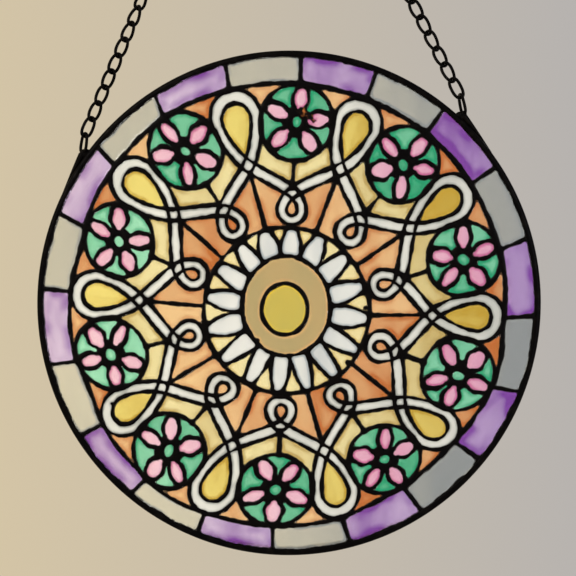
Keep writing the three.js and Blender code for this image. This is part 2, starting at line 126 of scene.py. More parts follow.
# the band's centre line: sideways from the loop's axis, out from the centre, half its white width
OUTER_LOOP = [
    (0, BORDER_RADIUS - 3.2, 2.0),
    (-6.3, 103.7, 1.75),
    (-9.4, 97.2, 1.4),
    (-8.1, 88.5, 1.25),
    (-4.1, 79, 1.3),
    (0, OUTER_CROSSING, 1.45),
]
INNER_LOOP = [
    (0, INNER_CROSSING, 1.4),
    (3.9, 53.6, 1.1),
    (5.1, 49.4, 1.2),
    (3.6, 46.1, 1.1),
    (0, MEDALLION_RADIUS + 3.6, 0.9),
]
STRAND_STEPS = 8  # points on the line from each of these to the next
STRAND_SLACK = 0.3  # how far past its ends the line still reaches

# where the last link ends in its solder: clockwise degrees from up, how far out from the rim, how thick
# the tail is there, and how many degrees that link is turned out of the disc's plane
SOLDER = {"left": (-51.4, 2.0, 4.0, -50), "right": (45.6, 2.8, 3.9, -65)}
SOLDER_LUMPS = ((0, 3), (0.5, 2.3), (0.9, 1.6))  # share of the way out to the link, half width
SOLDER_HALF_DEPTH = 1.5
TAIL_ANGLE = 11  # degrees of the rim that the tail runs along
TAIL_END = 0.5  # its thickness at its end
TAIL_SUNK = 0.3  # how far it is sunk into the rim
RING_WIRE = 2.0
RING_CENTRE = (ring_low + ring_high) / 2
RING_RADIUS = 7.0
LINK_PITCH = 8.75
LINK_WIDTH = 6.5
LINK_WIRE = 1.6
LINK_GAP = 0.12  # between the hanging ring and the first link

FILLET = 1.3  # how far the outlines run into each other where they meet
BAND_FILLET = 0.5  # and where the band crosses itself
LEADING_GRID = 0.45
LEADING_KEPT = 0.3  # share of their triangles that the outlines keep
PANE_GRID = 0.8
PANE_SEAT = LEADING_BACK + 0.05
PANE_TUCK = 0.5  # how far a pane's colour runs in under the outlines
PANE_THICKNESS = 0.32
PANE_CREEP = 0.3  # how much thicker it is beside the outlines
PANE_CREEP_REACH = 0.7  # and within what distance

# ---- the drawing ---------------------------------------------------------------------------------


def clockwise(points):
    return np.arctan2(points.real, points.imag)


def turned(points, angle):
    return points * np.exp(-1j * angle)


def ripple(points, length, seed, waves=5):
    """A smooth wandering value between about -1 and 1, with that wavelength."""
    random = np.random.default_rng(seed)
    total = 0
    for direction, phase, stretch in random.random((waves, 3)):
        step = np.exp(2j * math.pi * direction) * (0.7 + 0.8 * stretch) / length
        total = total + np.sin(2 * math.pi * ((points * step).real + phase))
    return total / math.sqrt(waves)


def drawn_by_hand(points):
    """Moves points of the true pattern to where they were drawn."""
    radius = np.abs(points)
    angle = clockwise(points)
    border = np.clip((LEADING_EDGE - radius) / (LEADING_EDGE - BORDER_RADIUS), 0, 1)
    middle = np.clip((BORDER_RADIUS - radius) / (BORDER_RADIUS - MEDALLION_RADIUS), 0, 1)
    sway = border * np.minimum(radius / BORDER_RADIUS, 1)
    dent = 0
    for degrees, depth, width in DENTS:
        away = np.degrees(clockwise(turned(points, -math.radians(degrees))))
        dent = dent + depth * np.exp(-((away / width) ** 2))
    out = sway * (0.5 * np.sin(3 * angle + 1.1) + 0.4 * np.sin(7 * angle + radius / 13))
    along = sway * (0.6 * np.sin(4 * angle + 0.6 + radius / 17) + 0.4 * np.sin(9 * angle + 2))
    out = out - dent * sway * np.minimum(radius / BORDER_RADIUS, 1) ** 3
    drawn = turned(along + 1j * (radius + out), angle)
    return drawn + PATTERN_DRIFT * border + MIDDLE_DRIFT * middle


def before_drawing(points):
    """The points of the true pattern that were drawn at these places."""
    true = points
    for _ in range(6):
        true = true + points - drawn_by_hand(true)
    return true


def smooth_path(keys, before, beyond):
    """Points along a centripetal Catmull-Rom curve through the keys."""
    keys = np.array([before, *keys, beyond], float)
    reach = np.sqrt(np.linalg.norm(np.diff(keys, axis=0), axis=1))
    stretches = []
    for i in range(len(keys) - 3):
        p0, p1, p2, p3 = keys[i:i + 4]
        d0, d1, d2 = reach[i:i + 3]
        leave = ((p1 - p0) / d0 - (p2 - p0) / (d0 + d1) + (p2 - p1) / d1) * d1
        arrive = ((p2 - p1) / d1 - (p3 - p1) / (d1 + d2) + (p3 - p2) / d2) * d1
        s = np.linspace(0, 1, STRAND_STEPS, endpoint=False)[:, None]
        bend = -3 * p1 + 3 * p2 - 2 * leave - arrive
        stretches.append(p1 + leave * s + bend * s**2 + (2 * p1 - 2 * p2 + leave + arrive) * s**3)
    path = np.vstack([*stretches, keys[-2:-1]])
    return path[:, 0] + 1j * path[:, 1], path[:, 2]


def band_strand():
    """From the top of an outer loop to the bottom of the next inner loop, in the flower's frame."""
    def from_loop(key):
        place = turned(key[0] + 1j * key[1], -HALF_STEP)
        return place.real, place.imag, key[2]

    first = OUTER_LOOP[1]
    last = INNER_LOOP[-2]
    keys = [from_loop(key) for key in OUTER_LOOP] + INNER_LOOP
    return smooth_path(keys, from_loop((-first[0], *first[1:])), (-last[0], *last[1:]))


STRAND, STRAND_HALF = band_strand()
# where in the strand its points at the outer and the inner crossing are
STRAND_AT_OUTER = STRAND_STEPS * (len(OUTER_LOOP) - 1)
STRAND_AT_INNER = STRAND_STEPS * len(OUTER_LOOP)


def nearest_on_strand(points):
    """Distance to the strand's centre line, and half the white width where it is nearest. Past
    its ends, where its mirror image takes over, it is out of reach."""
    best = np.full(points.shape, np.inf)
    half = np.zeros(points.shape)
    last = len(STRAND) - 2
    past = np.zeros(points.shape, bool)
    for i in range(last + 1):
        along = STRAND[i + 1] - STRAND[i]
        place = ((points - STRAND[i]) * np.conj(along)).real / abs(along) ** 2
        slack = STRAND_SLACK / abs(along)
        off_end = (i == 0) & (place < -slack) | (i == last) & (place > 1 + slack)
        place = np.clip(place, 0, 1)
        gap = np.abs(points - STRAND[i] - place * along)
        nearer = gap < best
        width = STRAND_HALF[i] + place * (STRAND_HALF[i + 1] - STRAND_HALF[i])
        best = np.where(nearer, gap, best)
        half = np.where(nearer, width, half)
        past = np.where(nearer, off_end, past)
    return best + np.where(past, 1000, 0), half


def inside_polygon(points, corners):
    inside = np.zeros(points.shape, bool)
    for a, b in zip(corners, np.roll(corners, -1)):
        if a.imag == b.imag:
            continue
        spans = (a.imag > points.imag) != (b.imag > points.imag)
        crossing = a.real + (points.imag - a.imag) * (b.real - a.real) / (b.imag - a.imag)
        inside ^= spans & (points.real < crossing)
    return inside


def to_segment(points, start, end):
    along = end - start
    place = np.clip(((points - start) * np.conj(along)).real / abs(along) ** 2, 0, 1)
    return np.abs(points - start - place * along)


def to_ellipse(points, form):
    """Distance outside an ellipse, negative inside, near enough beside its edge."""
    local = points - form["centre"]
    scaled = local.real / form["across"] + 1j * local.imag / form["up"]
    slope = local.real / form["across"] ** 2 + 1j * local.imag / form["up"] ** 2
    reach = np.abs(scaled)
    return reach * (reach - 1) / np.maximum(np.abs(slope), 1e-6)


def to_drop(points, start, end, start_radius, end_radius, swell):
    """Distance outside a capsule that tapers from one end to the other and swells between them."""
    along = end - start
    length = abs(along)
    local = (points - start) * np.conj(along) / length
    place = np.clip(local.real / length, 0, 1)
    radius = start_radius + place * (end_radius - start_radius) + 4 * swell * place * (1 - place)
    return np.abs(local - place * length) - radius


def joined(a, b, fillet=FILLET):
    """The nearer of two distances, with a fillet where they are alike."""
    like = np.maximum(fillet - np.abs(a - b), 0)
    return np.minimum(a, b) - like**2 / np.maximum(4 * fillet, 1e-6)


def line_at(distance, half=LINE / 2):
    """Distance to the edge of a line drawn where `distance` is nought."""
    return np.abs(distance) - half


def outlined(shapes):
    """Distance to the outlines drawn round several shapes, which never quite run together."""
    ordered = np.sort(np.stack(shapes), axis=0)
    outline = line_at(ordered[0] - LINE / 2)
    between = (ordered[1] - ordered[0]) / 2 - 0.4 * LINE
    between = np.maximum(between, ordered[0])  # only on the shapes themselves
    return np.minimum(outline, between), ordered[0]


def medallion_axis(place):
    """The direction of a place in the ring of medallion petals, where petal i is at place i."""
    step = 2 * math.pi / MEDALLION_PETALS
    even = step * place
    return even + step * (0.4 + 0.1 * math.sin(even - 2.7) + 0.1 * math.sin(2 * even - 2.4))


PURPLE, PALE, ORANGE, CREAM, YELLOW, GREEN, PINK, WHITE, PETAL, TRIANGLE, TAN, MIDDLE = range(12)


def medallion(points):
    """Distance to the medallion's outlines, and the kind of pane at each point."""
    petals = []
    for i in range(MEDALLION_PETALS):
        axis = medallion_axis(i)
        room = (medallion_axis(i + 0.5) - medallion_axis(i - 0.5)) / 2
        start = MEDALLION_PETAL_START + TAN_RING["centre"].imag * math.cos(axis)
        foot = start * math.sin(room) - LINE / 2
        tip = 2.0 + 0.3 * math.cos(axis) + 0.5 * math.sin(3.1 * i + 0.4)
        swell = 0.6 + 0.4 * math.sin(1.7 * i + 1)
        inner = turned(1j * (start + 1), axis)
        outer = turned(1j * (MEDALLION_RADIUS - LINE / 2 - tip - 0.1), axis)
        petals.append(to_drop(points, inner, outer, foot, tip, swell))
    outline, nearest = outlined(petals)
    tan = to_ellipse(points, TAN_RING)
    outline = np.where(tan > 0, outline, np.inf)
    outline = joined(outline, line_at(tan - LINE / 2))
    kind = np.where(nearest < LINE / 2, PETAL, TRIANGLE)
    kind = np.where(tan < LINE / 2, TAN, kind)
    kind = np.where(to_ellipse(points, CORE) < LINE / 2, MIDDLE, kind)
    return outline, kind


def flower(points, sector):
    """Distance to a flower's outlines, and whether each point is on a petal and in the flower."""
    local = points - 1j * FLOWER_CENTRE
    turn = FLOWER_SWING * np.sin(2.4 * sector + 0.7)
    petals = []
    for i in range(PETALS):
        lean = 0.1 * np.sin(1.9 * sector + 2.3 * i)
        inner = PETAL_HALF_WIDTH * (0.55 + 0.12 * np.sin(2.7 * sector + 1.7 * i))
        outer = PETAL_HALF_WIDTH * (0.72 + 0.16 * np.sin(1.3 * sector + 4.1 * i))
        swell = PETAL_HALF_WIDTH * (0.34 + 0.08 * np.sin(5.3 * sector + 2.9 * i))
        petal = turned(local, -(2 * math.pi * i / PETALS + turn + lean))
        low = 1j * (PETAL_INNER_END + inner)
        high = 1j * (PETAL_OUTER_END - outer)
        petals.append(to_drop(petal, low, high, inner, outer, swell))
    middle = turned(local, 1.1 * sector)
    across = FLOWER_MIDDLE["across"] + FLOWER_MIDDLE["uneven"] * np.sin(2.2 * sector + 4)
    up = FLOWER_MIDDLE["up"] + FLOWER_MIDDLE["uneven"] * np.sin(1.4 * sector + 5)
    centre = to_ellipse(middle, {"across": across, "up": up, "centre": 0})
    outline, _ = outlined([*petals, centre])
    nearest = np.min(np.stack(petals), axis=0)
    hub = np.maximum(-np.minimum(nearest, centre), np.abs(local) - FLOWER_HUB)
    outline = joined(outline, hub, 0.8)
    outline = np.where(np.abs(local) < FLOWER_RADIUS, outline, np.inf)
    roundel = line_at(np.abs(local) - FLOWER_RADIUS)
    return joined(outline, roundel), nearest < LINE / 2, np.abs(local) < FLOWER_RADIUS


def band(points, from_loop):
    """Distance to the band's outlines, and whether each point is on the band."""
    copies = []
    for place in (points, turned(mirrored(from_loop), -HALF_STEP), mirrored(points)):
        distance, half = nearest_on_strand(place)
        copies.append((line_at(distance - half - LINE / 2), distance < half + LINE / 2))
    (here, on), (over_loop, on_loop), (over_flower, on_flower) = copies
    # the two sides of a loop meet end to end at its top, where they must not thicken each other
    outer_fillet = BAND_FILLET * np.clip((90 - from_loop.imag) / 8, 0, 1)
    inner_fillet = BAND_FILLET * np.clip((points.imag - 50) / 4, 0, 1)
    outline = joined(joined(here, over_loop, outer_fillet), over_flower, inner_fillet)
    return outline, on | on_loop | on_flower


def mirrored(points):
    return -np.conj(points)


def draw(points):
    """The whole pattern: for each drawn point, the distance to the black outlines (negative on
    them), the kind of pane that it is in, and that pane's number."""
    true = before_drawing(points)
    radius = np.abs(true)
    angle = clockwise(true) - PATTERN_TURN
    sector = np.round(angle / (2 * HALF_STEP)) % SECTORS
    here = turned(1j * radius, angle - 2 * HALF_STEP * sector)  # in the flower's frame
    half = -np.abs(here.real) + 1j * here.imag  # folded onto its left half
    from_loop = turned(half, HALF_STEP)

    ring = line_at(radius - BORDER_RADIUS, LINE / 2 + BORDER_EXTRA)
    bar = angle - HALF_STEP * np.round(angle / HALF_STEP)
    bars = np.hypot(radius * np.sin(bar), np.maximum(BORDER_RADIUS - radius, 0)) - LINE / 2
    edge = LEADING_EDGE - EDGE_LINE - np.abs(points) + 0.2 * ripple(points, 16, 3)
    outline = joined(joined(ring, bars), edge)

    petals, on_petal, in_flower = flower(here, sector)
    band_outline, on_band = band(half, from_loop)
    flower_foot = 1j * (FLOWER_CENTRE - FLOWER_RADIUS)
    flower_spoke = to_segment(half, 1j * FLOWER_SPOKE_START, flower_foot) - LINE / 2
    loop_spoke = to_segment(from_loop, 1j * MEDALLION_RADIUS, 1j * LOOP_SPOKE_END) - LINE / 2
    hub = line_at(radius - MEDALLION_RADIUS)
    for other in (petals, band_outline, flower_spoke, loop_spoke, hub):
        outline = joined(outline, other)
    rosette, rosette_kind = medallion(true)
    in_medallion = radius < MEDALLION_RADIUS
    outline = np.where(in_medallion, joined(hub, rosette), outline)

    loop_side = -np.abs(from_loop.real) + 1j * from_loop.imag
    outer_half = turned(STRAND[:STRAND_AT_OUTER + 1], HALF_STEP)
    in_outer_loop = inside_polygon(loop_side, outer_half)
    in_inner_loop = inside_polygon(mirrored(half), STRAND[STRAND_AT_INNER:])
    straight = STRAND[STRAND_AT_OUTER:STRAND_AT_INNER + 1]
    below_band = inside_polygon(half, np.array([0, *straight, straight[-1] + 0.01]))

    kind = np.where(radius > TOUCH_RADIUS, ORANGE, CREAM)
    kind = np.where(below_band | in_inner_loop, ORANGE, kind)
    kind = np.where(in_outer_loop, YELLOW, kind)
    kind = np.where(on_band, WHITE, kind)
    kind = np.where(in_flower, np.where(on_petal, PINK, GREEN), kind)
    left_of_flower = here.real < 0
    kind = np.where(radius > BORDER_RADIUS, np.where(left_of_flower, PALE, PURPLE), kind)
    kind = np.where(in_medallion, rosette_kind, kind)

    wander = 0.22 * ripple(points, 14, 5) + 0.1 * ripple(points, 5, 6)  # of the outlines' edges
    number = 4 * sector + 2 * (radius > TOUCH_RADIUS) + left_of_flower  # of the pane, among its kind
    return outline - wander, kind, number


# ---- meshes --------------------------------------------------------------------------------------


def make_grid(spacing, radius):
    """Grid points over the disc and the triangles between them."""
    count = int(radius / spacing) + 2
    line = np.arange(-count, count + 1) * spacing
    points = (line[None, :] + 1j * line[:, None]).ravel()
    width = 2 * count + 1
    row, column = np.divmod(np.arange(width * width), width)
    corner = np.flatnonzero((row < width - 1) & (column < width - 1))
    corner = corner[np.abs(points[corner]) < radius + spacing]
    a, b, c, d = corner, corner + 1, corner + width + 1, corner + width
    even = (row[corner] + column[corner]) % 2 == 0
    first = np.where(even, [a, b, c], [a, b, d])
    second = np.where(even, [a, c, d], [b, c, d])
    return points, np.hstack([first, second]).T


class Cutting:
    """The part of a grid where `level` is above nought. Its corners lie on or between grid
    points."""

    def __init__(self, level, triangles):
        self.size = len(level)
        inside = level > 0
        count = inside[triangles].sum(axis=1)
        a, b, c = triangles[count == 3].T
        d, e, f = self.turn_to(inside, triangles[count == 1], True).T
        g, h, k = self.turn_to(~inside, triangles[count == 2], True).T
        corners = np.hstack([
            [self.between(a, a), self.between(b, b), self.between(c, c)],
            [self.between(d, d), self.between(d, e), self.between(d, f)],
            [self.between(g, h), self.between(h, h), self.between(k, k)],
            [self.between(g, h), self.between(k, k), self.between(g, k)],
        ])
        ids, index = np.unique(corners, return_inverse=True)
        self.faces = index.reshape(corners.shape).T
        self.low, self.high = np.divmod(ids, self.size)
        drop = level[self.low] - level[self.high]
        self.place = np.where(self.low == self.high, 0, level[self.low] / np.where(drop == 0, 1, drop))

    def between(self, i, j):
        return np.minimum(i, j) * self.size + np.maximum(i, j)

    @staticmethod
    def turn_to(flags, triangles, wanted):
        """Turns each triangle so that its one flagged corner comes first."""
        first = (flags[triangles] == wanted).argmax(axis=1)
        order = (first[:, None] + np.arange(3)) % 3
        return np.take_along_axis(triangles, order, axis=1)

    def values(self, grid_values):
        low = grid_values[self.low]
        return low + self.place * (grid_values[self.high] - low)


def new_object(name, positions, faces, slot, attributes=None):
    """A mesh object from positions in millimetres and faces of equal length."""
    mesh = bpy.data.meshes.new(name)
    faces = np.asarray(faces)
    mesh.vertices.add(len(positions))
    mesh.vertices.foreach_set("co", np.asarray(positions, np.float32).ravel() * MM)
    mesh.loops.add(faces.size)
    mesh.loops.foreach_set("vertex_index", faces.ravel().astype(np.int32))
    mesh.polygons.add(len(faces))
    starts = np.arange(0, faces.size, faces.shape[1], dtype=np.int32)
    mesh.polygons.foreach_set("loop_start", starts)
    for key, values in (attributes or {}).items():
        attribute = mesh.attributes.new(key, "FLOAT", "POINT")
        attribute.data.foreach_set("value", np.asarray(values, np.float32))
    mesh.update(calc_edges=True)
    mesh.validate()
    mesh.shade_smooth()
    piece = bpy.data.objects.new(name, mesh)
    bpy.context.scene.collection.objects.link(piece)
    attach(piece, "root")
    return piece


def slab(name, points, faces, front, back, slot, attributes):
    """A closed piece over the disc's front: a shaped front, a flat back and walls between them."""
    count = len(points)
    x = points.real + DISC_CENTRE[0]
    z = points.imag + DISC_CENTRE[2]
    front_side = np.stack([x, DISC_CENTRE[1] - front, z], axis=1)
    back_side = np.stack([x, np.full(count, DISC_CENTRE[1] - back), z], axis=1)
    edges = np.vstack([faces[:, [0, 1]], faces[:, [1, 2]], faces[:, [2, 0]]])
    there = edges[:, 0] * count + edges[:, 1]
    home = edges[:, 1] * count + edges[:, 0]
    i, j = edges[~np.isin(there, home)].T
    walls = np.hstack([[j, i, i + count], [j, i + count, j + count]]).T
    every_face = np.vstack([faces, faces[:, ::-1] + count, walls])
    doubled = {key: np.tile(values, 2) for key, values in attributes.items()}
    return new_object(name, np.vstack([front_side, back_side]), every_face, slot, doubled)


def apply_modifier(piece, kind, **settings):
    modifier = piece.modifiers.new(kind.lower(), kind)
    for key, value in settings.items():
        setattr(modifier, key, value)
    graph = bpy.context.evaluated_depsgraph_get()
    finished = bpy.data.meshes.new_from_object(piece.evaluated_get(graph))
    piece.modifiers.clear()
    piece.data = finished


# ---- the black outlines --------------------------------------------------------------------------


# drips and nicks in the outlines: clockwise degrees from up, distance from the centre, size
BLOBS = [(242.5, 100.7, 1.0), (220.3, 24.2, 1.3), (96.8, 38.8, 1.2), (137.3, 42.4, 1.5)]
# the broken, crusted place on the top flower
CRUST = (10.8 + 94.9j, 16.3 + 89.9j)
CRUST_HALF_WIDTH = 1.3


def crust(points):
    return to_segment(points, *CRUST) - CRUST_HALF_WIDTH - 0.7 * ripple(points, 3.6, 11)


def outline_gap(points):
    """Distance to the outlines as they are now, with their drips and the crust, and the kinds."""
    gap, kind, number = draw(points)
    for degrees, radius, size in BLOBS:
        centre = turned(1j * radius, math.radians(degrees))
        gap = joined(gap, np.abs(points - centre) - size, 0.8)
    return np.minimum(gap, crust(points)), kind, number


def relief(gap, points):
    """How far the outlines stand out from their seat: steep sides and a round back."""
    depth = np.clip(-gap / (LINE / 2), 0, 1)
    rounded = 0.3 + 0.7 * np.sqrt(depth * (2 - depth))
    crumbs = np.clip(-crust(points) / 0.5, 0, 1) * 0.12 * ripple(points, 1.6, 12)
    return LEADING_HEIGHT * (rounded + 0.05 * ripple(points, 9, 7) * depth + crumbs)


def make_leading():
    points, triangles = make_grid(LEADING_GRID, LEADING_EDGE)
    gap, _, _ = outline_gap(points)
    level = np.minimum(-gap, LEADING_EDGE - np.abs(points))
    cutting = Cutting(level, triangles)
    corners = cutting.values(points)
    gap = cutting.values(gap)
    broken = np.clip(-crust(corners) / 0.6, 0, 1)
    piece = slab(
        "outlines", corners, cutting.faces, LEADING_BACK + relief(gap, corners), LEADING_BACK,
        "black_relief", {"broken": broken},
    )
    apply_modifier(piece, "DECIMATE", ratio=LEADING_KEPT)
    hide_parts("leading")
    return piece


def make_centre_ring():
    """The loose ring round the yellow middle."""
    reach = 20  # well beyond the ring
    points, triangles = make_grid(LEADING_GRID, reach)
    points = points + drawn_by_hand(np.array([CORE["centre"]]))[0]
    true = before_drawing(points)
    gap = line_at(to_ellipse(true, CORE) - LINE / 2) - 0.15 * ripple(points, 9, 5)
    cutting = Cutting(-gap, triangles)
    corners = cutting.values(points)
    front = LEADING_BACK + relief(cutting.values(gap), corners)
    piece = slab(
        "centre_outline", corners, cutting.faces, front, LEADING_BACK, "black_relief",
        {"broken": np.zeros(len(corners))},
    )
    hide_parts("centre_ring")
    return piece


# ---- the coloured panes --------------------------------------------------------------------------

# kind: name of the piece, its slot in the record
PANES = {
    PURPLE: ("purple_border_panes", "purple_pane"),
    PALE: ("pale_border_panes", "pale_pane"),
    ORANGE: ("orange_panes", "orange_pane"),
    CREAM: ("cream_panes", "cream_pane"),
    YELLOW: ("yellow_drops", "yellow_pane"),
    GREEN: ("green_panes", "green_pane"),
    PINK: ("pink_petals", "pink_pane"),
    WHITE: ("white_band", "white_pane"),
    PETAL: ("white_medallion_petals", "white_pane"),
    TRIANGLE: ("cream_triangles", "cream_pane"),
    TAN: ("tan_ring_pane", "tan_pane"),
    MIDDLE: ("yellow_centre_pane", "yellow_pane"),
}


def make_panes():
    """One piece for each kind of pane: thin films that creep up a little beside the outlines."""
    points, triangles = make_grid(PANE_GRID, LEADING_EDGE)
    gap, kind, number = outline_gap(points)
    core = line_at(to_ellipse(before_drawing(points), CORE) - LINE / 2)
    gap = np.minimum(gap, core)
    level = np.minimum(gap + PANE_TUCK, LEADING_EDGE - np.abs(points))
    cutting = Cutting(level, triangles)
    corners = cutting.values(points)
    edge = np.maximum(cutting.values(gap), 0)
    source = np.where(level[cutting.low] > 0, cutting.low, cutting.high)
    corner_kind = kind[source]
    all_alike = np.isin(corner_kind, (WHITE, PETAL, TRIANGLE, TAN, MIDDLE))
    shade = np.sin(12.9 * number[source] + 7.7 * corner_kind) * 0.5 + 0.5
    shade = np.where(all_alike, 0.5, shade)
    creep = PANE_CREEP * np.exp(-edge / PANE_CREEP_REACH)
    front = PANE_SEAT + PANE_THICKNESS + creep + 0.02 * ripple(corners, 12, 8)
    pieces = {}
    for pane_kind, (name, slot) in PANES.items():
        faces = cutting.faces[(corner_kind[cutting.faces] == pane_kind).all(axis=1)]
        used, index = np.unique(faces, return_inverse=True)
        pieces[pane_kind] = slab(
            name, corners[used], index.reshape(faces.shape), front[used], PANE_SEAT, slot,
            {"edge": edge[used], "shade": shade[used]},
        )
    return pieces


# ---- rim, wire and chain -------------------------------------------------------------------------


def skin(rings, closed):
    """Quads over a row of rings of points, each ring closed on itself. If the row isn't closed, its
    two ends stay open."""
    rows, sides = rings.shape[:2]
    index = np.arange(rows * sides).reshape(rows, sides)
    if closed:
        index = np.vstack([index, index[:1]])
    here, there = index[:-1], index[1:]
    quads = np.stack(
        [here, np.roll(here, -1, axis=1), np.roll(there, -1, axis=1), there], axis=-1,
    )
    return quads.reshape(-1, 4)


def tube(line, radii, outward, closed=True, sides=12):
    """Rings round a centre line. `outward` gives, for each point, a direction across it."""
    if closed:
        tangent = np.roll(line, -1, axis=0) - np.roll(line, 1, axis=0)
    else:
        tangent = np.gradient(line, axis=0)
    tangent /= np.linalg.norm(tangent, axis=1)[:, None]
    side = outward - (outward * tangent).sum(axis=1)[:, None] * tangent
    side /= np.linalg.norm(side, axis=1)[:, None]
    other = np.cross(tangent, side)
    angle = 2 * math.pi * np.arange(sides) / sides
    across = (
        np.cos(angle)[None, :, None] * side[:, None]
        + np.sin(angle)[None, :, None] * other[:, None]
    )
    return line[:, None] + np.asarray(radii)[:, None, None] * across


def joined_skins(parts):
    """Several skins as one list of positions and one list of faces."""
    positions = []
    faces = []
    count = 0
    for rings, closed in parts:
        positions.append(rings.reshape(-1, 3))
        faces.append(skin(rings, closed) + count)
        count += len(positions[-1])
    return np.vstack(positions), np.vstack(faces)


def arc(centre, radius, start, end, steps=6):
    """Corners (distance from the disc's axis, depth) round an arc, in degrees from outward."""
    angle = np.radians(np.linspace(start, end, steps))
    return [(centre[0] + radius * math.cos(a), centre[1] + radius * math.sin(a)) for a in angle]


def make_rim():
    """A rolled channel that holds the glass, round on the outside and a little uneven."""
    lip = RIM_RADIUS - RIM_LIP
    groove = GLASS_HALF + RIM_CLEARANCE
    floor = RIM_RADIUS - RIM_WALL
    nose = 0.45  # radius of a lip's edge
    shoulder = 1.7  # and of the rim's outer corners
    half = RIM_HALF_DEPTH
    front = (
        arc((lip + nose, -half + nose), nose, -180, -90, 4)
        + arc((RIM_RADIUS - shoulder, -half + shoulder), shoulder, -90, 0, 8)
    )
    back = [(radius, -y) for radius, y in reversed(front)]
    inside = [(lip, groove), (floor, groove), (floor, -groove), (lip, -groove)]
    profile = np.array(front + back + inside)
    steps = 288
    angle = 2 * math.pi * np.arange(steps) / steps
    around = np.exp(1j * (math.pi / 2 - angle)) * 100  # a circle to read the ripples on
    uneven = 0.1 * ripple(around, 40, 21) + 0.05 * ripple(around, 9, 22)
    on_lips = profile[:, 0] < lip + 1.2  # only the lips waver, over the glass
    radius = profile[None, :, 0] + uneven[:, None] * on_lips[None, :]
    rings = np.stack([
        DISC_CENTRE[0] + radius * np.sin(angle)[:, None],
        DISC_CENTRE[1] + np.broadcast_to(profile[None, :, 1], radius.shape),
        DISC_CENTRE[2] + radius * np.cos(angle)[:, None],
    ], axis=-1)
    piece = new_object("black_rim", rings.reshape(-1, 3), skin(rings, True), "black_rim")
    piece.data.set_sharp_from_angle(angle=math.radians(50))
    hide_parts("rim")
    return piece


def out_from_disc(degrees, radius):
    place = turned(1j * np.asarray(radius, float), np.radians(degrees))
    return np.stack([
        DISC_CENTRE[0] + place.real, DISC_CENTRE[1] + 0 * place.real, DISC_CENTRE[2] + place.imag,
    ], axis=-1)


def hoop(centre, radius, wire, steps=48, sides=14):
    angle = 2 * math.pi * np.arange(steps) / steps
    outward = np.stack([np.sin(angle), 0 * angle, np.cos(angle)], axis=1)
    return tube(centre + radius * outward, np.full(steps, wire / 2), outward, True, sides)


def ball(centre, size, rows=10, sides=14):
    """Rings over an egg with these half sizes, nearly closed at its poles."""
    polar = np.linspace(0.05, math.pi - 0.05, rows)
    angle = 2 * math.pi * np.arange(sides) / sides
    rings = np.stack([
        np.sin(polar)[:, None] * np.cos(angle),
        np.sin(polar)[:, None] * np.sin(angle),
        np.cos(polar)[:, None] * np.ones(sides),
    ], axis=-1)
    return centre + rings * np.asarray(size)


def make_hanging_loop(side):
    """The eye, lost in a lump of solder, with a tail that runs down the rim's edge."""
    degrees, reach, tail, _ = SOLDER[side]
    down = math.copysign(1, degrees)
    steps = 24
    place = np.linspace(0, 1, steps)
    thick = TAIL_END + (tail - TAIL_END) * (1 - place) ** 1.5
    out = RIM_RADIUS - TAIL_SUNK + thick / 2
    line = out_from_disc(degrees + down * TAIL_ANGLE * place, out)
    radii = thick / 2
    radii[[0, -1]] = 0.05  # nearly closed at its ends, as the remesh needs
    parts = [(tube(line, radii, line - DISC_CENTRE, False), False)]
    for share, size in SOLDER_LUMPS:
        centre = out_from_disc(degrees, RIM_RADIUS + share * reach)
        parts.append((ball(centre, (size, SOLDER_HALF_DEPTH, size)), False))
    positions, faces = joined_skins(parts)
    piece = new_object(f"soldered_eye_{side}", positions, faces, "black_wire")
    apply_modifier(piece, "REMESH", mode="VOXEL", voxel_size=0.16 * MM, use_smooth_shade=True)
    apply_modifier(piece, "SMOOTH", factor=0.5, iterations=4)
    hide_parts(f"hanging_loop_{side}")
    return piece


def make_hanging_ring():
    rings = hoop(RING_CENTRE, RING_RADIUS, RING_WIRE, 96, 20)
    piece = new_object("ring", rings.reshape(-1, 3), skin(rings, True), "black_wire")
    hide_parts("hanging_ring")
    return piece


def smooth_step(value, start, end):
    place = np.clip((value - start) / (end - start), 0, 1)
    return place * place * (3 - 2 * place)


def link(start, end, turn, twist):
    """A link whose wire's centre line runs from one point to the other. `turn` is how far it is
    turned out of the disc's plane, and `twist` how much further each of its ends is."""
    middle = (start + end) / 2
    half_length = np.linalg.norm(end - start) / 2
    half_width = (LINK_WIDTH - LINK_WIRE) / 2
    axis = (end - start) / (2 * half_length)
    depth = np.array([0.0, 1.0, 0.0])
    flat = np.cross(axis, depth)
    flat /= np.linalg.norm(flat)
    steps = 44
    angle = 2 * math.pi * np.arange(steps) / steps
    squareness = 2 / 2.9  # 1 gives an ellipse, and less a link with straighter sides
    along = half_length * np.sign(np.cos(angle)) * np.abs(np.cos(angle)) ** squareness
    across = half_width * np.sign(np.sin(angle)) * np.abs(np.sin(angle)) ** squareness
    turns = turn + twist * along / half_length
    sideways = np.cos(turns)[:, None] * flat + np.sin(turns)[:, None] * depth
    offset = along[:, None] * axis + across[:, None] * sideways
    return tube(middle + offset, np.full(steps, LINK_WIRE / 2), offset, True, 10), True


